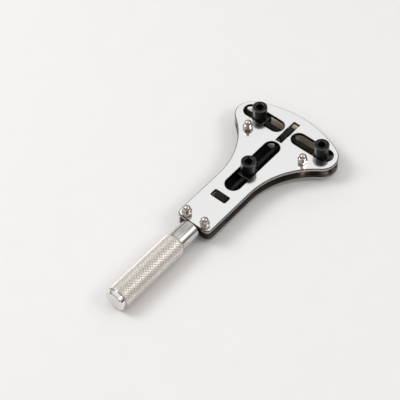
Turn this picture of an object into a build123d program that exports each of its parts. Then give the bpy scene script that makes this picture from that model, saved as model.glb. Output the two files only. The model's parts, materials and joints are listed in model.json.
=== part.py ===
from build123d import *

import os
from math import atan2, degrees, pi, sqrt

# Adjustable case back opener, in millimetres.
# +Y runs from the handle to the head, +X is to the right, +Z is the side with the bit holders.
# The origin is under the middle of the tool, on the surface that it lies on.

os.makedirs("parts", exist_ok=True)

# Driving dimensions of the body
overall_length = 169.0
plate_length = 103.6
plate_thickness = 1.9
plate_gap = 5.4
tail_half_width = 11.9
tail_corner_radius = 3.0
waist_start = 37.5
head_half_width = 37.0
head_radius = 68.0
tip_radius = 10.6
edge_break = 0.3
opening_break = 0.2

# Driving dimensions of the handle, with distances measured behind the tail edge
ferrule_radius = 6.3
ferrule_start = 0.9
ferrule_bevel = 0.3
grip_radius = 7.1
grip_start = 14.0
grip_end = 62.3
grip_shoulder_length = 1.8
grip_shoulder_drop = 0.7
grip_end_bevel = 0.5
cap_radius = 6.6
cap_bevel = 0.5
neck_radius = 6.0
neck_length = 0.6
stud_radius = 2.0
stud_bevel = 0.4
stud_depth_in_block = 9.5
stud_depth_in_grip = 10.0
cap_thread_radius = 2.5
cap_thread_length = 8.0
drill_point = 1.0

# Slots and windows, placed by their distance from the tail edge
centre_slot_width = 10.2
centre_slot_near = 32.0
centre_slot_far = 77.8
side_slot_width = 9.8
side_slot_inner = 3.8
side_slot_outer = 33.2
cross_axis_from_tail = 88.4
cross_window_width = 4.1
cross_window_length = 18.0
long_window_width = 10.8
long_window_length = 4.9
long_window_corner = 0.9
long_wheel_from_tail = 25.05

# Screws, nuts and spacers
tail_screw_x = 6.7
tail_screw_from_tail = 3.5
head_screw_x = 20.9
head_screw_from_tail = 75.9
screw_radius = 1.45
screw_hole_radius = 1.6
screw_head_radius = 2.75
screw_head_bevel = 0.25
screw_slot_width = 0.8
screw_slot_depth = 0.9
screw_slot_turn = 30
nut_across_flats = 5.5
nut_hex_height = 2.5
nut_height = 6.6
nut_dome_radius = 2.35
nut_corner_drop = 0.35
nut_foot_bevel = 0.25
nut_foot_rise = 0.15
nut_turns = (8, 22, 35, 14)
nut_hole_radius = 1.5
nut_hole_depth = 4.0
screw_in_nut = 3.6
spacer_radius = 3.0

# Block that holds the handle's stud and the long spindle's tail journal
tail_block_half_width = 10.4
tail_block_near = 0.3
tail_block_far = 19.0
tail_block_corner = 1.5
tail_boss_half_width = 4.2
tail_journal_depth = 4.5

# Drives
running_clearance = 0.05
end_gap = 0.3
cross_spindle_radius = 2.0
cross_journal_radius = 1.2
long_spindle_radius = 1.5
long_journal_radius = 1.0
cross_wheel_radius = 6.5
cross_wheel_width = 3.6
long_wheel_radius = 5.6
long_wheel_width = 4.0
wheel_notch_radius = 0.28
wheel_notch_pitch = 0.95
wheel_bevel = 0.35
wheel_pin_radius = 0.5
wheel_pin_recess = 0.6
bearing_spigot_radius = 0.9
cross_bearing_inner = 33.6
cross_bearing_outer = 35.7
cross_bearing_half_depth = 2.8
long_bearing_half_width = 2.4
long_bearing_near = 78.7
long_bearing_far = 81.2

# Guide channel of the centre holder
track_near = 31.0
track_far = 77.0
track_half_width = 6.7
track_sheet = 0.4

# Bit holders, at their places in the slots
left_holder_x = -21.8
right_holder_x = 25.3
centre_holder_from_tail = 51.0
post_radius = 4.6
post_height = 8.0
post_bevel = 0.45
block_half_width = 6.0
block_half_length = 4.8
block_corner = 0.6
block_bevel = 0.4
block_clearance = 0.3
centre_block_clearance = 0.65
socket_radius = 2.5
socket_depth = 6.5
socket_bevel = 0.35
keyways = 4
keyway_start_angle = 45
keyway_width = 0.8
keyway_depth = 0.55

# Heights
axis_z = grip_radius
back_inner_z = axis_z - plate_gap / 2
back_outer_z = back_inner_z - plate_thickness
front_inner_z = axis_z + plate_gap / 2
front_z = front_inner_z + plate_thickness
post_top_z = front_z + post_height

# Places along the tool, and the handle's end measured behind the tail edge
tail_y = overall_length / 2 - plate_length
cross_axis_y = tail_y + cross_axis_from_tail
long_wheel_y = tail_y + long_wheel_from_tail
centre_holder_y = tail_y + centre_holder_from_tail
tail_screws = [(x, tail_y + tail_screw_from_tail) for x in (-tail_screw_x, tail_screw_x)]
head_screws = [(x, tail_y + head_screw_from_tail) for x in (-head_screw_x, head_screw_x)]
screw_places = tail_screws + head_screws
handle_end = overall_length - plate_length

# The waist, tip and head arcs are tangent, which settles the waist's radius and each arc's angle.
waist_y = tail_y + waist_start
head_centre_y = tail_y + plate_length - head_radius
tip_x = head_half_width - tip_radius
tip_rise_from_head = sqrt((head_radius - tip_radius) ** 2 - tip_x**2)
tip_rise_from_waist = head_centre_y + tip_rise_from_head - waist_y
tip_offset = tip_x - tail_half_width
waist_radius = (tip_rise_from_waist**2 + tip_offset**2 - tip_radius**2) / (2 * (tip_radius + tip_offset))
waist_angle = degrees(atan2(tip_rise_from_waist, waist_radius - tip_offset))
head_angle = degrees(atan2(tip_x, tip_rise_from_head))
tip_angle = 90 + waist_angle - head_angle

# ---------------------------------------------------------------- plates

with BuildSketch() as plate_outline:
    with BuildLine():
        tail = Line((0, tail_y), (tail_half_width, tail_y))
        side = Line(tail @ 1, (tail_half_width, waist_y))
        waist = JernArc(side @ 1, side % 1, waist_radius, -waist_angle)
        tip = JernArc(waist @ 1, waist % 1, tip_radius, tip_angle)
        JernArc(tip @ 1, tip % 1, head_radius, head_angle)
        mirror(about=Plane.YZ)
    make_face()
    tail_corners = plate_outline.vertices().group_by(Axis.Y)[0].sort_by(Axis.X)
    fillet([tail_corners[0], tail_corners[-1]], tail_corner_radius)

with BuildSketch() as wheel_windows:
    with Locations((0, cross_axis_y)):
        Rectangle(cross_window_width, cross_window_length)
    with Locations((0, long_wheel_y)):
        RectangleRounded(long_window_width, long_window_length, radius=long_window_corner)

with BuildSketch() as holder_slots:
    with Locations((0, tail_y + (centre_slot_near + centre_slot_far) / 2)):
        SlotOverall(centre_slot_far - centre_slot_near, centre_slot_width, rotation=90)
    side_slot_x = (side_slot_inner + side_slot_outer) / 2
    with Locations((-side_slot_x, cross_axis_y), (side_slot_x, cross_axis_y)):
        SlotOverall(side_slot_outer - side_slot_inner, side_slot_width)

with BuildPart() as front_plate:
    with BuildSketch(Plane.XY.offset(front_inner_z)):
        add(plate_outline.sketch)
        add(wheel_windows.sketch, mode=Mode.SUBTRACT)
        add(holder_slots.sketch, mode=Mode.SUBTRACT)
    extrude(amount=plate_thickness)
    openings = front_plate.faces().sort_by(Axis.Z)[-1].inner_wires()
    chamfer([edge for opening in openings for edge in opening.edges()], opening_break)
    chamfer(front_plate.faces().sort_by(Axis.Z)[-1].outer_wire().edges(), edge_break)
    with BuildSketch(Plane.XY.offset(front_inner_z)):
        with Locations(screw_places):
            Circle(screw_hole_radius)
    extrude(amount=plate_thickness, mode=Mode.SUBTRACT)

front_plate.part.label = "front_plate"
export_step(front_plate.part, "parts/front_plate.step")

bearing_x = (cross_bearing_inner + cross_bearing_outer) / 2
bearing_y = tail_y + (long_bearing_near + long_bearing_far) / 2
bearing_places = [(-bearing_x, cross_axis_y), (bearing_x, cross_axis_y), (0, bearing_y)]

with BuildPart() as back_plate:
    with BuildSketch(Plane.XY.offset(back_outer_z)):
        add(plate_outline.sketch)
        add(wheel_windows.sketch, mode=Mode.SUBTRACT)
    extrude(amount=plate_thickness)
    openings = back_plate.faces().sort_by(Axis.Z)[0].inner_wires()
    chamfer([edge for opening in openings for edge in opening.edges()], opening_break)
    chamfer(back_plate.faces().sort_by(Axis.Z)[0].outer_wire().edges(), edge_break)
    with BuildSketch(Plane.XY.offset(back_outer_z)):
        with Locations(screw_places):
            Circle(screw_hole_radius)
        with Locations(bearing_places):
            Circle(bearing_spigot_radius)
    extrude(amount=plate_thickness, mode=Mode.SUBTRACT)

back_plate.part.label = "back_plate"
export_step(back_plate.part, "parts/back_plate.step")

# ---------------------------------------------------------------- between the plates

tail_plane = Plane(origin=(0, tail_y, axis_z), x_dir=(1, 0, 0), z_dir=(0, 1, 0))

with BuildPart() as tail_block:
    with BuildSketch(Plane.XY.offset(back_inner_z)):
        with Locations((0, tail_y + (tail_block_near + tail_block_far) / 2)):
            RectangleRounded(2 * tail_block_half_width, tail_block_far - tail_block_near, tail_block_corner)
        with Locations((0, tail_y)):
            Rectangle(2 * tail_boss_half_width, 2 * ferrule_start)
        with Locations(tail_screws):
            Circle(screw_hole_radius, mode=Mode.SUBTRACT)
    extrude(amount=plate_gap)
    with BuildSketch(tail_plane.offset(-ferrule_start)):
        Circle(stud_radius)
    extrude(amount=ferrule_start + stud_depth_in_block, mode=Mode.SUBTRACT)
    with BuildSketch(tail_plane.offset(tail_block_far)):
        Circle(long_journal_radius + running_clearance)
    extrude(amount=-tail_journal_depth, mode=Mode.SUBTRACT)

tail_block.part.label = "tail_block"
export_step(tail_block.part, "parts/tail_block.step")

with BuildPart() as centre_track:
    with BuildSketch(Plane.XY.offset(back_inner_z)):
        with Locations((0, tail_y + (track_near + track_far) / 2)):
            Rectangle(2 * track_half_width, track_far - track_near)
    extrude(amount=plate_gap)
    with BuildSketch(Plane.XY.offset(back_inner_z + track_sheet)):
        with Locations((0, tail_y + (track_near + track_far) / 2)):
            Rectangle(2 * (track_half_width - track_sheet), track_far - track_near)
    extrude(amount=plate_gap, mode=Mode.SUBTRACT)

centre_track.part.label = "centre_track"
export_step(centre_track.part, "parts/centre_track.step")


def cross_bearing(bearing_side, label):
    """Upright block with a bore along X for the spindle's journal and a spigot staked in the back plate."""
    with BuildPart() as bearing:
        with BuildSketch(Plane.XY.offset(back_inner_z)):
            with Locations((bearing_side * bearing_x, cross_axis_y)):
                Rectangle(cross_bearing_outer - cross_bearing_inner, 2 * cross_bearing_half_depth)
        extrude(amount=plate_gap)
        with BuildSketch(Plane.XY.offset(back_outer_z)):
            with Locations((bearing_side * bearing_x, cross_axis_y)):
                Circle(bearing_spigot_radius)
        extrude(amount=plate_thickness)
        with Locations(Location((bearing_side * bearing_x, cross_axis_y, axis_z), (0, 90, 0))):
            Cylinder(cross_journal_radius + running_clearance, plate_gap, mode=Mode.SUBTRACT)
    bearing.part.label = label
    return bearing.part


for bearing_side, label in ((-1, "cross_bearing_left"), (1, "cross_bearing_right")):
    export_step(cross_bearing(bearing_side, label), f"parts/{label}.step")

with BuildPart() as long_spindle_bearing:
    with BuildSketch(Plane.XY.offset(back_inner_z)):
        with Locations((0, bearing_y)):
            Rectangle(2 * long_bearing_half_width, long_bearing_far - long_bearing_near)
    extrude(amount=plate_gap)
    with BuildSketch(Plane.XY.offset(back_outer_z)):
        with Locations((0, bearing_y)):
            Circle(bearing_spigot_radius)
    extrude(amount=plate_thickness)
    with Locations(Location((0, bearing_y, axis_z), (90, 0, 0))):
        Cylinder(long_journal_radius + running_clearance, plate_gap, mode=Mode.SUBTRACT)

long_spindle_bearing.part.label = "long_spindle_bearing"
export_step(long_spindle_bearing.part, "parts/long_spindle_bearing.step")


def head_spacer(place, label):
    """Distance tube round a head screw."""
    with BuildPart() as spacer:
        with BuildSketch(Plane.XY.offset(back_inner_z)):
            with Locations(place):
                Circle(spacer_radius)
                Circle(screw_hole_radius, mode=Mode.SUBTRACT)
        extrude(amount=plate_gap)
    spacer.part.label = label
    return spacer.part


for place, label in zip(head_screws, ("head_spacer_left", "head_spacer_right")):
    export_step(head_spacer(place, label), f"parts/{label}.step")

# ---------------------------------------------------------------- fasteners

with BuildPart() as plate_screws:
    with BuildSketch():
        with Locations(screw_places):
            Circle(screw_head_radius)
    extrude(amount=back_outer_z)
    chamfer(plate_screws.edges().filter_by(GeomType.CIRCLE).group_by(Axis.Z)[0], screw_head_bevel)
    with BuildSketch(Plane.XY.offset(back_outer_z)):
        with Locations(screw_places):
            Circle(screw_radius)
    extrude(amount=front_z + screw_in_nut - back_outer_z)
    with BuildSketch():
        with Locations(screw_places):
            Rectangle(2 * screw_head_radius, screw_slot_width, rotation=screw_slot_turn)
    extrude(amount=screw_slot_depth, mode=Mode.SUBTRACT)

plate_screws.part.label = "plate_screws"
export_step(plate_screws.part, "parts/plate_screws.step")

nut_corner_radius = nut_across_flats / sqrt(3)
with BuildSketch(Plane.XZ) as nut_envelope:
    with BuildLine():
        flank = Polyline(
            (0, 0),
            (nut_corner_radius - nut_foot_bevel, 0),
            (nut_corner_radius, nut_foot_rise),
            (nut_corner_radius, nut_hex_height - nut_corner_drop),
            (nut_dome_radius, nut_hex_height + nut_corner_drop),
        )
        wall = Line(flank @ 1, (nut_dome_radius, nut_height - nut_dome_radius))
        JernArc(wall @ 1, wall % 1, nut_dome_radius, 90)
        Line((0, nut_height), (0, 0))
    make_face()

with BuildPart() as single_nut:
    with BuildSketch():
        RegularPolygon(nut_across_flats / 2, 6, major_radius=False)
    extrude(amount=nut_height)
    revolve(nut_envelope.sketch, axis=Axis.Z, mode=Mode.INTERSECT)
    with BuildSketch():
        Circle(nut_hole_radius)
    extrude(amount=nut_hole_depth, mode=Mode.SUBTRACT)

with BuildPart() as acorn_nuts:
    for turn, (x, y) in zip(nut_turns, screw_places):
        with Locations(Location((x, y, front_z), (0, 0, turn))):
            add(single_nut.part)

acorn_nuts.part.label = "acorn_nuts"
export_step(acorn_nuts.part, "parts/acorn_nuts.step")

# ---------------------------------------------------------------- handle


def turned(profile_points):
    """Solid of revolution about the handle's axis from points of (distance behind the tail edge, radius)."""
    with BuildPart() as solid:
        with BuildSketch(Plane(origin=(0, tail_y, axis_z), x_dir=(0, -1, 0), z_dir=(1, 0, 0))):
            with BuildLine():
                Polyline(*profile_points, close=True)
            make_face()
        revolve(axis=Axis((0, tail_y, axis_z), (0, -1, 0)))
    return solid.part


with BuildPart() as handle_stud:
    add(
        turned(
            [
                (-stud_depth_in_block, 0),
                (-stud_depth_in_block, stud_radius - stud_bevel),
                (-stud_depth_in_block + stud_bevel, stud_radius),
                (grip_start + stud_depth_in_grip - stud_bevel, stud_radius),
                (grip_start + stud_depth_in_grip, stud_radius - stud_bevel),
                (grip_start + stud_depth_in_grip, 0),
            ]
        )
    )

handle_stud.part.label = "handle_stud"
export_step(handle_stud.part, "parts/handle_stud.step")

with BuildPart() as handle_ferrule:
    add(
        turned(
            [
                (ferrule_start, stud_radius),
                (ferrule_start, ferrule_radius - ferrule_bevel),
                (ferrule_start + ferrule_bevel, ferrule_radius),
                (grip_start, ferrule_radius),
                (grip_start, stud_radius),
            ]
        )
    )

handle_ferrule.part.label = "handle_ferrule"
export_step(handle_ferrule.part, "parts/handle_ferrule.step")

with BuildPart() as handle_grip:
    add(
        turned(
            [
                (grip_start, stud_radius),
                (grip_start, grip_radius - grip_shoulder_drop),
                (grip_start + grip_shoulder_length, grip_radius),
                (grip_end - grip_end_bevel, grip_radius),
                (grip_end, grip_radius - grip_end_bevel),
                (grip_end, cap_thread_radius),
                (grip_end - cap_thread_length - drill_point, cap_thread_radius),
                (grip_end - cap_thread_length - 2 * drill_point, 0),
                (grip_start + stud_depth_in_grip + drill_point, 0),
                (grip_start + stud_depth_in_grip, stud_radius),
            ]
        )
    )

handle_grip.part.label = "handle_grip"
export_step(handle_grip.part, "parts/handle_grip.step")

with BuildPart() as handle_end_cap:
    add(
        turned(
            [
                (grip_end - cap_thread_length, 0),
                (grip_end - cap_thread_length, cap_thread_radius),
                (grip_end, cap_thread_radius),
                (grip_end, neck_radius),
                (grip_end + neck_length, neck_radius),
                (grip_end + neck_length, cap_radius),
                (handle_end - cap_bevel, cap_radius),
                (handle_end, cap_radius - cap_bevel),
                (handle_end, 0),
            ]
        )
    )

handle_end_cap.part.label = "handle_end_cap"
export_step(handle_end_cap.part, "parts/handle_end_cap.step")

# ---------------------------------------------------------------- drives


def stepped_rod(plane, steps):
    """Round rod along the plane's normal from (start, end, radius) steps."""
    with BuildPart() as rod:
        for start, end, radius in steps:
            with BuildSketch(plane.offset(start)):
                Circle(radius)
            extrude(amount=end - start)
    return rod.part


def thumbwheel(plane, radius, width, bore_radius, pin_axis):
    """Bevelled disc centred on the plane, knurled by notches, bored and cross-drilled for its pin."""
    notches = round(2 * pi * radius / wheel_notch_pitch)
    with BuildPart() as wheel:
        with BuildSketch(plane.offset(-width / 2)):
            Circle(radius)
        extrude(amount=width)
        chamfer(wheel.edges().filter_by(GeomType.CIRCLE), wheel_bevel)
        with BuildSketch(plane.offset(-width / 2)):
            with PolarLocations(radius, notches):
                Circle(wheel_notch_radius)
            Circle(bore_radius)
        extrude(amount=width, mode=Mode.SUBTRACT)
        with Locations(pin_axis):
            Cylinder(wheel_pin_radius, 2 * radius, mode=Mode.SUBTRACT)
    return wheel.part


cross_plane = Plane(origin=(0, cross_axis_y, axis_z), x_dir=(0, 1, 0), z_dir=(1, 0, 0))
cross_pin_axis = Location((0, cross_axis_y, axis_z), (90, 0, 0))
cross_thread_end = cross_bearing_inner - end_gap
cross_rod_end = cross_bearing_outer - end_gap

with BuildPart() as cross_spindle:
    add(
        stepped_rod(
            cross_plane,
            [
                (-cross_rod_end, cross_rod_end, cross_journal_radius),
                (-cross_thread_end, cross_thread_end, cross_spindle_radius),
            ],
        )
    )
    with Locations(cross_pin_axis):
        Cylinder(wheel_pin_radius, 4 * cross_spindle_radius, mode=Mode.SUBTRACT)

cross_spindle.part.label = "cross_spindle"
export_step(cross_spindle.part, "parts/cross_spindle.step")

with BuildPart() as cross_thumbwheel:
    add(thumbwheel(cross_plane, cross_wheel_radius, cross_wheel_width, cross_spindle_radius, cross_pin_axis))

cross_thumbwheel.part.label = "cross_thumbwheel"
export_step(cross_thumbwheel.part, "parts/cross_thumbwheel.step")

with BuildPart() as cross_wheel_pin:
    with Locations(cross_pin_axis):
        Cylinder(wheel_pin_radius, 2 * (cross_wheel_radius - wheel_pin_recess))

cross_wheel_pin.part.label = "cross_wheel_pin"
export_step(cross_wheel_pin.part, "parts/cross_wheel_pin.step")

long_plane = Plane(origin=(0, long_wheel_y, axis_z), x_dir=(1, 0, 0), z_dir=(0, 1, 0))
long_pin_axis = Location((0, long_wheel_y, axis_z), (0, 90, 0))
long_tail_end = tail_block_far - tail_journal_depth + end_gap - long_wheel_from_tail
long_head_end = long_bearing_far - end_gap - long_wheel_from_tail
long_thread_tail_end = tail_block_far + end_gap - long_wheel_from_tail
long_thread_head_end = long_bearing_near - end_gap - long_wheel_from_tail

with BuildPart() as long_spindle:
    add(
        stepped_rod(
            long_plane,
            [
                (long_tail_end, long_head_end, long_journal_radius),
                (long_thread_tail_end, long_thread_head_end, long_spindle_radius),
            ],
        )
    )
    with Locations(long_pin_axis):
        Cylinder(wheel_pin_radius, 4 * long_spindle_radius, mode=Mode.SUBTRACT)

long_spindle.part.label = "long_spindle"
export_step(long_spindle.part, "parts/long_spindle.step")

with BuildPart() as long_thumbwheel:
    add(thumbwheel(long_plane, long_wheel_radius, long_wheel_width, long_spindle_radius, long_pin_axis))

long_thumbwheel.part.label = "long_thumbwheel"
export_step(long_thumbwheel.part, "parts/long_thumbwheel.step")

with BuildPart() as long_wheel_pin:
    with Locations(long_pin_axis):
        Cylinder(wheel_pin_radius, 2 * (long_wheel_radius - wheel_pin_recess))

long_wheel_pin.part.label = "long_wheel_pin"
export_step(long_wheel_pin.part, "parts/long_wheel_pin.step")

# ---------------------------------------------------------------- bit holders


def bit_holder(place, block_size, block_bottom_z, bore_turn, bore_radius, label):
    """Nut block between the plates and a post with a keyed socket that stands up through the slot."""
    block_top_z = front_inner_z - block_clearance
    with BuildPart() as holder:
        with BuildSketch(Plane.XY.offset(block_bottom_z)):
            with Locations(place):
                RectangleRounded(*block_size, radius=block_corner)
        extrude(amount=block_top_z - block_bottom_z)
        chamfer(holder.faces().sort_by(Axis.Z)[-1].edges(), block_bevel)
        with BuildSketch(Plane.XY.offset(block_top_z - block_bevel)):
            with Locations(place):
                Circle(post_radius)
        extrude(amount=post_top_z - block_top_z + block_bevel)
        chamfer(holder.faces().sort_by(Axis.Z)[-1].edges(), post_bevel)
        with BuildSketch(Plane.XY.offset(post_top_z)):
            with Locations(place):
                Circle(socket_radius)
        extrude(amount=-socket_depth, mode=Mode.SUBTRACT)
        chamfer(holder.faces().sort_by(Axis.Z)[-1].inner_wires()[0].edges(), socket_bevel)
        with BuildSketch(Plane.XY.offset(post_top_z)):
            with Locations(place):
                with PolarLocations(socket_radius, keyways, start_angle=keyway_start_angle):
                    Rectangle(2 * keyway_depth, keyway_width)
        extrude(amount=-socket_depth, mode=Mode.SUBTRACT)
        with Locations(Location((*place, axis_z), bore_turn)):
            Cylinder(bore_radius + running_clearance, 3 * block_half_width, mode=Mode.SUBTRACT)
    holder.part.label = label
    return holder.part


side_block = (2 * block_half_length, 2 * block_half_width)
side_bottom_z = back_inner_z + block_clearance
for holder_x, label in ((left_holder_x, "left_bit_holder"), (right_holder_x, "right_bit_holder")):
    side_holder = bit_holder(
        (holder_x, cross_axis_y), side_block, side_bottom_z, (0, 90, 0), cross_spindle_radius, label
    )
    export_step(side_holder, f"parts/{label}.step")

centre_block = (2 * block_half_width, 2 * block_half_length)
centre_bottom_z = back_inner_z + centre_block_clearance
centre_holder = bit_holder(
    (0, centre_holder_y), centre_block, centre_bottom_z, (90, 0, 0), long_spindle_radius, "centre_bit_holder"
)
export_step(centre_holder, "parts/centre_bit_holder.step")
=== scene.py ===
import json
import math
import random

import bmesh
import bpy
from mathutils import Matrix, Vector


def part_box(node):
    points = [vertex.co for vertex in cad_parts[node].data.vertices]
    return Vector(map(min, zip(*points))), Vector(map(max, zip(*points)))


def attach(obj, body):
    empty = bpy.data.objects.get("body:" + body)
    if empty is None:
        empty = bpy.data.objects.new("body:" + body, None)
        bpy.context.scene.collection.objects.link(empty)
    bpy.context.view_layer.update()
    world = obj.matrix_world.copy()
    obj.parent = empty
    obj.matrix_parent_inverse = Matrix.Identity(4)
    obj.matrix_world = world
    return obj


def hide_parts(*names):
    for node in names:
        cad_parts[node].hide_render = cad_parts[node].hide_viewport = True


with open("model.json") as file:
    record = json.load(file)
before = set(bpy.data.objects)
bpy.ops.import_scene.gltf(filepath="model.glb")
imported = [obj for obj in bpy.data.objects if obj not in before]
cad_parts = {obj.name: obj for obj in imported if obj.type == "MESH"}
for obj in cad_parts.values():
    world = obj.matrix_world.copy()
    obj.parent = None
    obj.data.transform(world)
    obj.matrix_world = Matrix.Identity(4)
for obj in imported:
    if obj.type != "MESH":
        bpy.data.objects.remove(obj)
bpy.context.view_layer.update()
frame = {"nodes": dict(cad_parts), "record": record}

nodes = frame["nodes"]
random.seed(7)

MM = 0.001
WHITE = (1.0, 1.0, 1.0)
BLACK = (0.0, 0.0, 0.0)

# Axes by their place in a vector
X = 0
Y = 1

# Vertices closer than SAME_PLACE are one, and a cut takes in what lies within CUT_REACH of it
SAME_PLACE = 1e-7
CUT_REACH = 1e-8

# A normal's Z is below WALL_LEAN on a wall and above FACE_LEAN on a flat face
WALL_LEAN = 0.3
FACE_LEAN = 0.9

# A point within FACE_SKIN of a plate's face is on it. The openings end SLOT_REACH from the cross spindle's
# axis and past its wheel, and SLOT_MARGIN past the long spindle's wheel.
FACE_SKIN = 0.02 * MM
SLOT_REACH = 5.2 * MM
SLOT_MARGIN = 0.6 * MM

# Knurl of the grip: diamonds round it, their length and depth, and how far the crests stay in the CAD's
KNURL_STARTS = 36
KNURL_PITCH = 1.48 * MM
KNURL_DEPTH = 0.36 * MM
KNURL_INSET = 0.01 * MM

# Share of a diamond that each flank takes, greatest wear of a crest, and steps a diamond is counted in
KNURL_FLANK = 0.3
KNURL_WEAR = 0.08
KNURL_LATTICE = 20

# Plain ends and bores of the grip
GRIP_SHOULDER = 1.8 * MM
GRIP_END_BEVEL = 0.5 * MM
GRIP_LIP = 0.1 * MM
CAP_BORE_RADIUS = 2.5 * MM
BORE_CLEARANCE = 0.5 * MM

# Threads: shares of a turn where root and crest begin and end, and turns cut off again at each end
THREAD_TURNS = (0.0, 0.12, 0.48, 0.64)
SPARE_TURNS = 2

# Cross spindle: thread, gap between wheel and thread, plain middle, journals and their bevelled ends
CROSS_PITCH = 0.7 * MM
CROSS_THREAD_DEPTH = 0.4 * MM
CROSS_WHEEL_GAP = 0.5 * MM
CROSS_PLAIN_INSET = 0.05 * MM
CROSS_JOURNAL_RADIUS = 1.2 * MM
CROSS_END_RADIUS = 0.8 * MM
CROSS_END_BEVEL = 0.3 * MM

# Long spindle: the same
LONG_PITCH = 0.5 * MM
LONG_THREAD_DEPTH = 0.3 * MM
LONG_WHEEL_GAP = 0.6 * MM
LONG_PLAIN_INSET = 0.03 * MM
LONG_JOURNAL_RADIUS = 1.0 * MM
LONG_END_RADIUS = 0.7 * MM
LONG_END_BEVEL = 0.2 * MM

# Gap between a thread or a shoulder and the bearing or the block that holds its journal
JOURNAL_GAP = 0.3 * MM

# Floor, and dark flags round the horizon: where each begins, is full, stops being full and ends, in turns
FLOOR_HALF = 3.0
FLAGS = ((0.17, 0.2, 0.28, 0.31), (0.46, 0.5, 0.69, 0.73), (0.8, 0.83, 0.88, 0.92))
FLAG_TONE = (0.2, 0.165, 0.135)

# Camera: place and target in metres, roll in degrees and lens in millimetres
CAMERA_PLACE = (0.27719, -0.31028, 0.55382)
CAMERA_TARGET = (-0.00724, -0.00365, 0.0117)
CAMERA_ROLL = -2.593
CAMERA_LENS = 106.21


# ------------------------------------------------------------------ places taken from the frame

def axis_of(node, direction):
    """Middle of a node's box on its two axes across direction, with 0 along it."""
    low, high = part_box(node)
    middle = (low + high) / 2
    middle[direction] = 0
    return middle


handle_axis = axis_of("handle_grip", Y)
cross_axis = axis_of("cross_spindle", X)
long_axis = axis_of("long_spindle", Y)


# ------------------------------------------------------------------ shader helpers

def new_material(name, base_color, metallic, roughness):
    """Principled material with its numbers set on the sockets, ready for textures."""
    material = bpy.data.materials.new(name)
    material.use_nodes = True
    tree = material.node_tree
    shader = tree.nodes["Principled BSDF"]
    shader.inputs["Base Color"].default_value = (*base_color, 1)
    shader.inputs["Metallic"].default_value = metallic
    shader.inputs["Roughness"].default_value = roughness
    return material, tree, shader


def noise(tree, scale_xyz, detail=3.0, roughness=0.55):
    """Noise in object space, scaled per axis in cycles per metre, which stretches it into lines."""
    coordinates = tree.nodes.new("ShaderNodeTexCoord")
    mapping = tree.nodes.new("ShaderNodeMapping")
    mapping.inputs["Scale"].default_value = scale_xyz
    texture = tree.nodes.new("ShaderNodeTexNoise")
    texture.inputs["Scale"].default_value = 1.0
    texture.inputs["Detail"].default_value = detail
    texture.inputs["Roughness"].default_value = roughness
    tree.links.new(coordinates.outputs["Object"], mapping.inputs["Vector"])
    tree.links.new(mapping.outputs["Vector"], texture.inputs["Vector"])
    return texture.outputs["Fac"]


def remap(tree, value, low, high, from_low=0.3, from_high=0.7):
    """Stretches a value from one range, which is a noise's own unless given, to another."""
    node = tree.nodes.new("ShaderNodeMapRange")
    node.inputs["From Min"].default_value = from_low
    node.inputs["From Max"].default_value = from_high
    node.inputs["To Min"].default_value = low
    node.inputs["To Max"].default_value = high
    tree.links.new(value, node.inputs["Value"])
    return node.outputs["Result"]


def tint(tree, factor, dark, light):
    """Colour between dark and light."""
    node = tree.nodes.new("ShaderNodeMix")
    node.data_type = "RGBA"
    node.inputs["A"].default_value = (*dark, 1)
    node.inputs["B"].default_value = (*light, 1)
    tree.links.new(factor, node.inputs["Factor"])
    return node.outputs["Result"]


def blend(tree, factor, first, second):
    """Colour that goes from first to second with the factor."""
    node = tree.nodes.new("ShaderNodeMix")
    node.data_type = "RGBA"
    tree.links.new(factor, node.inputs["Factor"])
    tree.links.new(first, node.inputs["A"])
    tree.links.new(second, node.inputs["B"])
    return node.outputs["Result"]


def combine(tree, first, second, operation="ADD"):
    """Sum of two values, or what the named operation makes of them."""
    node = tree.nodes.new("ShaderNodeMath")
    node.operation = operation
    tree.links.new(first, node.inputs[0])
    tree.links.new(second, node.inputs[1])
    return node.outputs["Value"]


def bump(tree, shader, height, depth_mm, strength=1.0):
    """Bump whose full height is depth_mm."""
    node = tree.nodes.new("ShaderNodeBump")
    node.inputs["Strength"].default_value = strength
    node.inputs["Distance"].default_value = depth_mm * MM
    tree.links.new(height, node.inputs["Height"])
    tree.links.new(node.outputs["Normal"], shader.inputs["Normal"])


def edge_mask(tree, radius_mm, edge=0.86, flat=0.995):
    """1 on edges and 0 on flat stretches, by the cosine of how far a rounded normal leans."""
    bevel = tree.nodes.new("ShaderNodeBevel")
    bevel.samples = 6
    bevel.inputs["Radius"].default_value = radius_mm * MM
    geometry = tree.nodes.new("ShaderNodeNewGeometry")
    dot = tree.nodes.new("ShaderNodeVectorMath")
    dot.operation = "DOT_PRODUCT"
    tree.links.new(bevel.outputs["Normal"], dot.inputs[0])
    tree.links.new(geometry.outputs["Normal"], dot.inputs[1])
    return remap(tree, dot.outputs["Value"], 1.0, 0.0, from_low=edge, from_high=flat)


def compare(tree, value, low, high):
    """1 where the value is between low and high, 0 elsewhere."""
    node = tree.nodes.new("ShaderNodeMath")
    node.operation = "COMPARE"
    tree.links.new(value, node.inputs[0])
    node.inputs[1].default_value = (low + high) / 2
    node.inputs[2].default_value = (high - low) / 2
    return node.outputs["Value"]


def facing(tree, low, high):
    """1 where the surface's own normal has a Z between low and high, 0 elsewhere."""
    geometry = tree.nodes.new("ShaderNodeNewGeometry")
    split = tree.nodes.new("ShaderNodeSeparateXYZ")
    tree.links.new(geometry.outputs["True Normal"], split.inputs["Vector"])
    return compare(tree, split.outputs["Z"], low, high)


def within(tree, axis, low, high):
    """1 where the object's own X, Y or Z is between low and high, in metres, 0 elsewhere."""
    coordinates = tree.nodes.new("ShaderNodeTexCoord")
    split = tree.nodes.new("ShaderNodeSeparateXYZ")
    tree.links.new(coordinates.outputs["Object"], split.inputs["Vector"])
    return compare(tree, split.outputs[axis], low, high)


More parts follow.
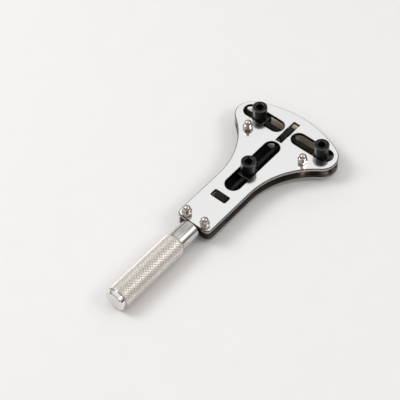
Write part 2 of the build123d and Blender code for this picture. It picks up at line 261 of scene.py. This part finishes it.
def on_face(tree, upward, height):
    """1 on flat faces at a height, in metres, that look up (upward 1) or down (-1), 0 elsewhere."""
    level = within(tree, "Z", height - FACE_SKIN, height + FACE_SKIN)
    lean = 1 - FACE_LEAN
    return combine(tree, facing(tree, upward - lean, upward + lean), level, "MULTIPLY")


def axis_distance(tree, axis_point):
    """How far a point is from the line along Y through axis_point, in metres."""
    coordinates = tree.nodes.new("ShaderNodeTexCoord")
    offset = tree.nodes.new("ShaderNodeVectorMath")
    offset.operation = "SUBTRACT"
    offset.inputs[1].default_value = axis_point
    flat = tree.nodes.new("ShaderNodeVectorMath")
    flat.operation = "MULTIPLY"
    flat.inputs[1].default_value = (1, 0, 1)
    length = tree.nodes.new("ShaderNodeVectorMath")
    length.operation = "LENGTH"
    tree.links.new(coordinates.outputs["Object"], offset.inputs[0])
    tree.links.new(offset.outputs["Vector"], flat.inputs[0])
    tree.links.new(flat.outputs["Vector"], length.inputs[0])
    return length.outputs["Value"]


# ------------------------------------------------------------------ materials

def plate_openings(tree):
    """1 over the slots and windows, whose walls get painted shade, darker than the outer edge."""
    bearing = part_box("cross_bearing_right")[0]
    wheel_low, wheel_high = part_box("long_thumbwheel")
    across = combine(
        tree,
        within(tree, "X", -bearing.x, bearing.x),
        within(tree, "Y", cross_axis.y - SLOT_REACH, cross_axis.y + SLOT_REACH),
        "MULTIPLY",
    )
    along = combine(
        tree,
        within(tree, "X", wheel_low.x - SLOT_MARGIN, wheel_high.x + SLOT_MARGIN),
        within(tree, "Y", wheel_low.y - SLOT_MARGIN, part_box("cross_thumbwheel")[1].y + SLOT_REACH),
        "MULTIPLY",
    )
    return combine(tree, across, along, "MAXIMUM")


def plate_steel():
    """Polished plate with fine brushing and smudges and grey sheared walls, with painted shade: a dark line
    on the rim and bevels, near-black walls in the openings, and darker faces between the plates, which are
    also duller.
    """
    material, tree, shader = new_material("plate_steel", (0.9, 0.9, 0.89), 1.0, 0.15)
    brushing = noise(tree, (5200, 120, 5200), detail=2)
    smudges = noise(tree, (55, 38, 55), detail=4)
    spots = noise(tree, (900, 900, 900), detail=3)
    shear_marks = noise(tree, (2600, 2600, 300), detail=3)
    wall = facing(tree, -WALL_LEAN, WALL_LEAN)
    upper_bevel = facing(tree, WALL_LEAN, FACE_LEAN)
    lower_bevel = facing(tree, -FACE_LEAN, -WALL_LEAN)
    bevel = combine(tree, upper_bevel, lower_bevel, "MAXIMUM")
    under = on_face(tree, -1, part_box("front_plate")[0].z)
    inner = on_face(tree, 1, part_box("back_plate")[1].z)
    colour = tint(tree, smudges, (0.86, 0.86, 0.855), (0.93, 0.93, 0.925))
    # Painted shade between the plates: the front plate's underside is dark, and the back plate's inner face
    # darker and browner.
    colour = blend(tree, under, colour, tint(tree, smudges, (0.17, 0.15, 0.135), (0.24, 0.215, 0.2)))
    colour = blend(tree, inner, colour, tint(tree, smudges, (0.56, 0.49, 0.42), (0.72, 0.64, 0.56)))
    colour = blend(tree, wall, colour, tint(tree, shear_marks, (0.3, 0.29, 0.28), (0.6, 0.59, 0.57)))
    # Painted shade: the walls of the slots and windows go near-black.
    opening_wall = combine(tree, wall, plate_openings(tree), "MULTIPLY")
    painted_wall_shade = tint(tree, shear_marks, (0.02, 0.02, 0.02), (0.07, 0.065, 0.06))
    colour = blend(tree, opening_wall, colour, painted_wall_shade)
    # Painted shade: a dark line along the bevels and the plate's edges, standing in for their dark
    # reflection.
    painted_rim_shade = combine(tree, bevel, edge_mask(tree, 0.6, edge=0.97, flat=0.9995), "MAXIMUM")
    colour = blend(tree, painted_rim_shade, colour, tint(tree, smudges, (0.03, 0.024, 0.018), (0.08, 0.068, 0.055)))
    tree.links.new(colour, shader.inputs["Base Color"])
    polish = combine(tree, remap(tree, brushing, 0.09, 0.15), remap(tree, smudges, 0.0, 0.05))
    dull = combine(tree, combine(tree, wall, bevel), combine(tree, under, inner))
    tree.links.new(combine(tree, polish, remap(tree, dull, 0.0, 0.2, 0, 1)), shader.inputs["Roughness"])
    bump(tree, shader, combine(tree, brushing, remap(tree, spots, 0.0, 0.6)), 0.0009)
    return material


def blackened_steel():
    """Black oxide with a soft sheen, worn to grey steel along edges, with a painted highlight in the same
    grey on chamfers that lean up.
    """
    material, tree, shader = new_material("blackened_steel", (0.02, 0.02, 0.022), 0.1, 0.4)
    shader.inputs["Specular IOR Level"].default_value = 0.17
    grain = noise(tree, (3800, 3800, 3800), detail=3)
    patches = noise(tree, (260, 260, 260), detail=4)
    # Painted highlight: chamfers that lean up are lightened to grey steel, added to the real wear along
    # edges.
    lit_chamfers = remap(tree, facing(tree, 0.55, 0.85), 0.0, 0.45, 0, 1)
    worn = combine(tree, edge_mask(tree, 0.16), lit_chamfers, "MAXIMUM")
    wear = combine(tree, worn, remap(tree, patches, 0.15, 0.75), "MULTIPLY")
    tree.links.new(tint(tree, wear, (0.007, 0.007, 0.008), (0.4, 0.38, 0.35)), shader.inputs["Base Color"])
    tree.links.new(remap(tree, patches, 0.3, 0.48), shader.inputs["Roughness"])
    bump(tree, shader, grain, 0.006)
    return material


def dull_black():
    """Black oxide without polish, for the wheels, the threads and the block in the gap."""
    material, tree, shader = new_material("dull_black", (0.012, 0.012, 0.012), 0.0, 0.55)
    shader.inputs["Specular IOR Level"].default_value = 0.14
    grain = noise(tree, (2400, 2400, 2400), detail=3)
    patches = noise(tree, (320, 320, 320), detail=4)
    wear = combine(tree, edge_mask(tree, 0.1), remap(tree, patches, 0.1, 0.7), "MULTIPLY")
    tree.links.new(tint(tree, wear, (0.008, 0.0075, 0.007), (0.3, 0.28, 0.26)), shader.inputs["Base Color"])
    tree.links.new(remap(tree, patches, 0.45, 0.65), shader.inputs["Roughness"])
    bump(tree, shader, grain, 0.01)
    return material


def bright_chrome():
    """Polished chrome with the faintest turning lines and a little haze."""
    material, tree, shader = new_material("bright_chrome", (0.88, 0.86, 0.83), 1.0, 0.07)
    lines = noise(tree, (500, 7000, 500), detail=2)
    haze = noise(tree, (190, 190, 190), detail=4)
    tree.links.new(remap(tree, haze, 0.045, 0.13), shader.inputs["Roughness"])
    tree.links.new(tint(tree, haze, (0.78, 0.76, 0.73), (0.88, 0.86, 0.83)), shader.inputs["Base Color"])
    bump(tree, shader, lines, 0.0008)
    return material


def nut_chrome():
    """Warm bright chrome, with painted shade where the nuts meet the plate and under their domes."""
    material, tree, shader = new_material("nut_chrome", (0.72, 0.67, 0.62), 1.0, 0.07)
    haze = noise(tree, (190, 190, 190), detail=4)
    # Painted shade: darker where ambient occlusion finds close surfaces, at the plate and under the dome.
    corners = tree.nodes.new("ShaderNodeAmbientOcclusion")
    corners.samples = 8
    corners.inputs["Distance"].default_value = 2.2 * MM
    unshaded = remap(tree, corners.outputs["AO"], 0.0, 1.0, 0.55, 0.92)
    metal = tint(tree, haze, (0.4, 0.345, 0.3), (0.6, 0.55, 0.5))
    painted_crevice_shade = tint(tree, haze, (0.035, 0.025, 0.018), (0.09, 0.07, 0.05))
    tree.links.new(blend(tree, unshaded, painted_crevice_shade, metal), shader.inputs["Base Color"])
    tree.links.new(remap(tree, haze, 0.045, 0.13), shader.inputs["Roughness"])
    bump(tree, shader, noise(tree, (500, 500, 7000), detail=2), 0.0008)
    return material


def ferrule_nickel():
    """Nickel drawn lengthwise: fine light and dark streaks along the sleeve."""
    material, tree, shader = new_material("ferrule_nickel", (0.78, 0.76, 0.73), 1.0, 0.2)
    streaks = noise(tree, (650, 30, 650), detail=5, roughness=0.75)
    lines = noise(tree, (3800, 90, 3800), detail=2)
    contrast = remap(tree, streaks, 0.0, 1.0, 0.35, 0.65)
    tree.links.new(tint(tree, contrast, (0.3, 0.28, 0.26), (0.94, 0.93, 0.91)), shader.inputs["Base Color"])
    tree.links.new(remap(tree, streaks, 0.3, 0.14), shader.inputs["Roughness"])
    bump(tree, shader, combine(tree, streaks, lines), 0.006)
    return material


def knurled_alloy():
    """Nickelled knurl, lighter on the crests and darker towards the groove floors."""
    material, tree, shader = new_material("knurled_alloy", (0.8, 0.79, 0.76), 1.0, 0.4)
    grain = noise(tree, (5200, 5200, 5200), detail=3)
    handling = noise(tree, (120, 70, 120), detail=4)
    low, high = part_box("handle_grip")
    reach = axis_distance(tree, handle_axis)
    radius = (high.x - low.x) / 2
    tips = remap(tree, reach, 0.0, 1.0, radius - KNURL_DEPTH, radius - 0.1 * KNURL_DEPTH)
    grooves = tint(tree, handling, (0.5, 0.46, 0.41), (0.62, 0.58, 0.53))
    crests = tint(tree, handling, (0.92, 0.88, 0.83), (1.0, 0.98, 0.95))
    tree.links.new(blend(tree, tips, grooves, crests), shader.inputs["Base Color"])
    tree.links.new(remap(tree, grain, 0.34, 0.5), shader.inputs["Roughness"])
    bump(tree, shader, grain, 0.003)
    return material


def bright_steel():
    """Turned bright steel for screws, spacers and pins."""
    material, tree, shader = new_material("bright_steel", (0.66, 0.65, 0.63), 1.0, 0.25)
    lines = noise(tree, (900, 900, 6000), detail=2)
    patches = noise(tree, (300, 300, 300), detail=4)
    tree.links.new(remap(tree, patches, 0.18, 0.34), shader.inputs["Roughness"])
    tree.links.new(tint(tree, patches, (0.56, 0.55, 0.53), (0.74, 0.73, 0.71)), shader.inputs["Base Color"])
    bump(tree, shader, lines, 0.002)
    return material


materials = {
    "plate_steel": plate_steel(),
    "blackened_steel": blackened_steel(),
    "bright_chrome": bright_chrome(),
    "knurled_alloy": knurled_alloy(),
    "bright_steel": bright_steel(),
}
unpolished_black = dull_black()


def dress(piece, material):
    """Gives the piece one material, in every slot it has."""
    if piece.material_slots:
        for entry in piece.material_slots:
            entry.material = material
    else:
        piece.data.materials.append(material)


slot_of = {entry["node"]: entry["material_slot"] for entry in frame["record"]["subparts"]}
for node_name, node in nodes.items():
    dress(node, materials[slot_of[node_name]])
dress(nodes["acorn_nuts"], nut_chrome())
dress(nodes["handle_ferrule"], ferrule_nickel())
for node_name in ("cross_thumbwheel", "long_thumbwheel", "tail_block"):
    dress(nodes[node_name], unpolished_black)


# ------------------------------------------------------------------ mesh helpers

def piece_from(bm, name, body, material, sharp_degrees=28):
    """Turns a bmesh into a piece that rides on a body."""
    bmesh.ops.recalc_face_normals(bm, faces=bm.faces)
    mesh = bpy.data.meshes.new(name)
    bm.to_mesh(mesh)
    bm.free()
    for polygon in mesh.polygons:
        polygon.use_smooth = True
    mesh.set_sharp_from_angle(angle=math.radians(sharp_degrees))
    piece = bpy.data.objects.new(name, mesh)
    bpy.context.scene.collection.objects.link(piece)
    dress(piece, material)
    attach(piece, body)
    return piece


def trim(bm, low, high):
    """Cuts the mesh square at low and high along Y and drops what is outside."""
    for place, normal in ((low, (0, -1, 0)), (high, (0, 1, 0))):
        everything = bm.verts[:] + bm.edges[:] + bm.faces[:]
        bmesh.ops.bisect_plane(
            bm, geom=everything, dist=CUT_REACH, plane_co=(0, place, 0), plane_no=normal, clear_outer=True
        )


def carry_on(bm, place, rings):
    """Carries the open end at Y = place on through (radius, y) rings and closes it with a face."""
    edge_loop = [
        edge for edge in bm.edges
        if edge.is_boundary and all(abs(vert.co.y - place) < SAME_PLACE for vert in edge.verts)
    ]
    for radius, y in rings:
        made = bmesh.ops.extrude_edge_only(bm, edges=edge_loop)["geom"]
        for vert in (item for item in made if isinstance(item, bmesh.types.BMVert)):
            across = Vector((vert.co.x, 0, vert.co.z)).normalized() * radius
            vert.co = (across.x, y, across.z)
        edge_loop = [item for item in made if isinstance(item, bmesh.types.BMEdge) and item.is_boundary]
    bmesh.ops.edgeloop_fill(bm, edges=edge_loop)


def helical_skin(low, high, major, depth, pitch, hand, segments=36):
    """Open threaded skin about Y that runs past both ends. hand is 1 for right-hand, -1 for left-hand."""
    root = major - depth
    profile = tuple(zip(THREAD_TURNS, (root, root, major, major)))
    turns = int((high - low) / pitch) + 2 * SPARE_TURNS
    start = low - SPARE_TURNS * pitch
    bm = bmesh.new()
    columns = []
    for step in range(segments + 1):
        angle = -hand * 2 * math.pi * step / segments
        column = []
        for turn in range(turns):
            for phase, radius in profile:
                y = start + (turn + phase + step / segments) * pitch
                column.append(bm.verts.new((radius * math.cos(angle), y, radius * math.sin(angle))))
        columns.append(column)
    for first, second in zip(columns, columns[1:]):
        for row in range(len(first) - 1):
            bm.faces.new((first[row], first[row + 1], second[row + 1], second[row]))
    bmesh.ops.remove_doubles(bm, verts=bm.verts, dist=SAME_PLACE)
    return bm


# ------------------------------------------------------------------ knurled grip

def knurled_skin(low, high, radius):
    """Open skin of flat-topped diamonds about Y, on the lattice of two crossing sets of helical grooves."""
    rows = int((high - low) / KNURL_PITCH) + 3
    middle = (low + high) / 2
    bm = bmesh.new()
    grid = {}

    def vertex(u, v, top):
        """Vertex at a lattice point, made once, from the groove's floor (top 0) to the crest (top 1)."""
        around = (u + v) / 2
        along = (u - v) / 2
        wrapped = (
            round(around * KNURL_LATTICE) % (KNURL_STARTS * KNURL_LATTICE),
            round(along * KNURL_LATTICE),
        )
        if wrapped not in grid:
            angle = 2 * math.pi * around / KNURL_STARTS
            reach = radius - KNURL_DEPTH * (1 - top)
            y = middle + along * KNURL_PITCH
            grid[wrapped] = bm.verts.new((reach * math.cos(angle), y, reach * math.sin(angle)))
        return grid[wrapped]

    steps = (0.0, KNURL_FLANK, 1 - KNURL_FLANK, 1.0)
    for around_cell in range(KNURL_STARTS):
        for along_cell in range(-rows, rows + 1):
            if abs(along_cell * KNURL_PITCH / 2) > (high - low) / 2 + KNURL_PITCH:
                continue
            centre_around = around_cell + (along_cell % 2) / 2
            centre_along = along_cell / 2
            u0 = centre_around + centre_along - 0.5
            v0 = centre_around - centre_along - 0.5
            worn = 1 - random.random() * KNURL_WEAR
            cell = {}
            for i, du in enumerate(steps):
                for j, dv in enumerate(steps):
                    inner = i in (1, 2) and j in (1, 2)
                    cell[i, j] = vertex(u0 + du, v0 + dv, worn if inner else 0.0)
            for i in range(3):
                for j in range(3):
                    bm.faces.new((cell[i, j], cell[i + 1, j], cell[i + 1, j + 1], cell[i, j + 1]))
    return bm


def build_grip():
    """Knurled sleeve with a plain shoulder at the ferrule, bored for the stud and for the cap's thread."""
    low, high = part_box("handle_grip")
    ferrule_low, ferrule_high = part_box("handle_ferrule")
    stud_low, stud_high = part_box("handle_stud")
    cap_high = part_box("handle_end_cap")[1]
    radius = (high.x - low.x) / 2
    head_radius = (ferrule_high.x - ferrule_low.x) / 2 + GRIP_LIP
    bm = knurled_skin(low.y, high.y, radius - KNURL_INSET)
    for vert in bm.verts:
        reach = math.hypot(vert.co.x, vert.co.z)
        from_head = (high.y - vert.co.y) / GRIP_SHOULDER
        limit = min(
            radius + min(0.0, vert.co.y - low.y - GRIP_END_BEVEL),
            head_radius + (radius - head_radius) * max(0.0, from_head),
        )
        if reach > limit:
            vert.co.x *= limit / reach
            vert.co.z *= limit / reach
    trim(bm, low.y, high.y)
    stud_radius = (stud_high.x - stud_low.x) / 2
    stud_bore_end = stud_low.y - BORE_CLEARANCE
    carry_on(bm, high.y, ((stud_radius, high.y), (stud_radius, stud_bore_end)))
    cap_bore_end = cap_high.y + BORE_CLEARANCE
    carry_on(bm, low.y, ((CAP_BORE_RADIUS, low.y), (CAP_BORE_RADIUS, cap_bore_end)))
    bmesh.ops.translate(bm, verts=bm.verts, vec=handle_axis)
    finish = materials["knurled_alloy"]
    grip = piece_from(bm, "knurled_grip", "frame", finish, sharp_degrees=1)
    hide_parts("handle_grip")


build_grip()


# ------------------------------------------------------------------ threaded spindles

def build_cross_spindle():
    """Left-hand thread left of the wheel and right-hand right of it, with a plain middle and journals."""
    low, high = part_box("cross_spindle")
    major = (high.z - low.z) / 2
    plain_radius = major - CROSS_PLAIN_INSET
    plain_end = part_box("cross_thumbwheel")[1].x + CROSS_WHEEL_GAP
    thread_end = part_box("cross_bearing_right")[0].x - JOURNAL_GAP
    for side, name in ((1, "cross_thread_right"), (-1, "cross_thread_left")):
        bm = helical_skin(plain_end, thread_end, major, CROSS_THREAD_DEPTH, CROSS_PITCH, hand=side)
        trim(bm, plain_end, thread_end)
        carry_on(bm, thread_end, (
            (CROSS_JOURNAL_RADIUS, thread_end),
            (CROSS_JOURNAL_RADIUS, high.x - CROSS_END_BEVEL),
            (CROSS_END_RADIUS, high.x),
        ))
        carry_on(bm, plain_end, ((plain_radius, plain_end), (plain_radius, 0.0)))
        turn = Matrix.Rotation(math.radians(-90 * side), 4, "Z")
        bmesh.ops.transform(bm, matrix=Matrix.Translation(cross_axis) @ turn, verts=bm.verts)
        thread = piece_from(bm, name, "cross_drive", unpolished_black)
        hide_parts("cross_spindle")


def build_long_spindle():
    """Right-hand thread from the wheel to the head-end bearing, with a plain tail and journals."""
    low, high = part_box("long_spindle")
    major = (high.z - low.z) / 2
    plain_radius = major - LONG_PLAIN_INSET
    thread_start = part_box("long_thumbwheel")[1].y + LONG_WHEEL_GAP
    thread_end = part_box("long_spindle_bearing")[0].y - JOURNAL_GAP
    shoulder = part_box("tail_block")[1].y + JOURNAL_GAP
    bm = helical_skin(thread_start, thread_end, major, LONG_THREAD_DEPTH, LONG_PITCH, hand=1, segments=28)
    trim(bm, thread_start, thread_end)
    carry_on(bm, thread_end, (
        (LONG_JOURNAL_RADIUS, thread_end),
        (LONG_JOURNAL_RADIUS, high.y - LONG_END_BEVEL),
        (LONG_END_RADIUS, high.y),
    ))
    carry_on(bm, thread_start, (
        (plain_radius, thread_start),
        (plain_radius, shoulder),
        (LONG_JOURNAL_RADIUS, shoulder),
        (LONG_JOURNAL_RADIUS, low.y + LONG_END_BEVEL),
        (LONG_END_RADIUS, low.y),
    ))
    bmesh.ops.translate(bm, verts=bm.verts, vec=long_axis)
    thread = piece_from(bm, "long_thread", "long_drive", unpolished_black)
    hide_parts("long_spindle")


build_cross_spindle()
build_long_spindle()


# ------------------------------------------------------------------ stage, light and camera

def build_floor():
    """Pale floor, clear from underneath so that the back can be looked at."""
    mesh = bpy.data.meshes.new("floor")
    corners = [(x * FLOOR_HALF, y * FLOOR_HALF, 0) for x, y in ((-1, -1), (1, -1), (1, 1), (-1, 1))]
    mesh.from_pydata(corners, [], [(0, 1, 2, 3)])
    floor = bpy.data.objects.new("floor", mesh)
    bpy.context.scene.collection.objects.link(floor)
    material, tree, shader = new_material("pale_floor", (0.8, 0.79, 0.78), 0.0, 0.85)
    mottle = noise(tree, (60, 60, 60), detail=4)
    tree.links.new(tint(tree, mottle, (0.79, 0.77, 0.76), (0.82, 0.805, 0.8)), shader.inputs["Base Color"])
    shader.inputs["Specular IOR Level"].default_value = 0.2
    output = tree.nodes["Material Output"]
    geometry = tree.nodes.new("ShaderNodeNewGeometry")
    clear = tree.nodes.new("ShaderNodeBsdfTransparent")
    one_sided = tree.nodes.new("ShaderNodeMixShader")
    tree.links.new(geometry.outputs["Backfacing"], one_sided.inputs["Fac"])
    tree.links.new(shader.outputs["BSDF"], one_sided.inputs[1])
    tree.links.new(clear.outputs["BSDF"], one_sided.inputs[2])
    tree.links.new(one_sided.outputs["Shader"], output.inputs["Surface"])
    dress(floor, material)


def ramp_of(tree, value, stops):
    """Colour ramp from (position, colour) stops."""
    node = tree.nodes.new("ShaderNodeValToRGB")
    elements = node.color_ramp.elements
    elements[0].position, elements[0].color = stops[0][0], (*stops[0][1], 1)
    elements[1].position, elements[1].color = stops[-1][0], (*stops[-1][1], 1)
    for position, colour in stops[1:-1]:
        elements.new(position).color = (*colour, 1)
    tree.links.new(value, node.inputs["Fac"])
    return node.outputs["Color"]


def multiply(tree, first, second, factor=None):
    """Product of two colours, by the factor where there is one."""
    node = tree.nodes.new("ShaderNodeMix")
    node.data_type = "RGBA"
    node.blend_type = "MULTIPLY"
    node.inputs["Factor"].default_value = 1.0
    tree.links.new(first, node.inputs["A"])
    tree.links.new(second, node.inputs["B"])
    if factor is not None:
        tree.links.new(factor, node.inputs["Factor"])
    return node.outputs["Result"]


def towards(tree, direction, directions):
    """Cosine of the angle between a direction and each of the directions."""
    node = tree.nodes.new("ShaderNodeVectorMath")
    node.operation = "DOT_PRODUCT"
    node.inputs[1].default_value = Vector(direction).normalized()
    tree.links.new(directions, node.inputs[0])
    return node.outputs["Value"]


def build_world():
    """Pale studio, bright overhead and warm at the horizon, with dark flags there and a dimmer patch."""
    world = bpy.data.worlds.new("studio")
    bpy.context.scene.world = world
    world.use_nodes = True
    tree = world.node_tree
    background = tree.nodes["Background"]
    directions = tree.nodes.new("ShaderNodeTexCoord").outputs["Generated"]

    split = tree.nodes.new("ShaderNodeSeparateXYZ")
    tree.links.new(directions, split.inputs["Vector"])
    height = remap(tree, split.outputs["Z"], 0.0, 1.0, -1.0, 1.0)
    by_height = ramp_of(tree, height, (
        (0.44, (0.6, 0.59, 0.58)),
        (0.5, (0.1, 0.055, 0.025)),
        (0.55, (0.12, 0.08, 0.05)),
        (0.6, (0.56, 0.55, 0.54)),
        (0.66, (0.7, 0.7, 0.7)),
        (0.8, (0.84, 0.84, 0.84)),
        (0.9, (0.92, 0.92, 0.92)),
    ))
    upper_left = towards(tree, (-0.36, 0.42, 0.83), directions)
    by_side = ramp_of(tree, upper_left, ((0.1, (0.68, 0.68, 0.68)), (0.88, WHITE)))
    lower_right = towards(tree, (0.41, -0.44, 0.8), directions)
    dim_patch = ramp_of(tree, lower_right, ((0.91, WHITE), (0.98, (0.5, 0.48, 0.46))))

    around = tree.nodes.new("ShaderNodeTexGradient")
    around.gradient_type = "RADIAL"
    tree.links.new(directions, around.inputs["Vector"])
    flag_stops = [(0.0, WHITE)]
    for begins, full, stops_full, ends in FLAGS:
        flag_stops += [(begins, WHITE), (full, FLAG_TONE), (stops_full, FLAG_TONE), (ends, WHITE)]
    flags = ramp_of(tree, around.outputs["Color"], flag_stops)
    low_band = ramp_of(tree, height, ((0.49, BLACK), (0.51, WHITE), (0.58, WHITE), (0.66, BLACK)))

    result = multiply(tree, by_height, by_side)
    result = multiply(tree, result, flags, low_band)
    result = multiply(tree, result, dim_patch)
    tree.links.new(result, background.inputs["Color"])
    background.inputs["Strength"].default_value = 1.0


def add_softbox(name, place, size, power, target=(0, 0, 0.01)):
    """Rectangular light of so many watts, aimed at the tool."""
    light = bpy.data.lights.new(name, "AREA")
    light.shape = "RECTANGLE"
    light.size, light.size_y = size
    light.energy = power
    lamp = bpy.data.objects.new(name, light)
    lamp.location = place
    lamp.rotation_euler = (Vector(target) - Vector(place)).to_track_quat("-Z", "Y").to_euler()
    bpy.context.scene.collection.objects.link(lamp)


def add_camera():
    """Long lens, looking down on the tool from the handle's right."""
    place = Vector(CAMERA_PLACE)
    target = Vector(CAMERA_TARGET)
    roll = math.radians(CAMERA_ROLL)
    camera = bpy.data.cameras.new("camera")
    camera.sensor_width = 36.0
    camera.lens = CAMERA_LENS
    view = bpy.data.objects.new("camera", camera)
    aim = (target - place).to_track_quat("-Z", "Y").to_matrix().to_4x4()
    view.matrix_world = Matrix.Translation(place) @ aim @ Matrix.Rotation(roll, 4, "Z")
    bpy.context.scene.collection.objects.link(view)
    bpy.context.scene.camera = view


build_floor()
build_world()
add_softbox("key", (-0.75, -0.35, 0.9), (0.5, 0.5), 6.0)
add_softbox("fill", (0.75, 0.35, 0.8), (0.6, 0.3), 2.5)
add_camera()
bpy.context.scene.view_settings.view_transform = "Standard"
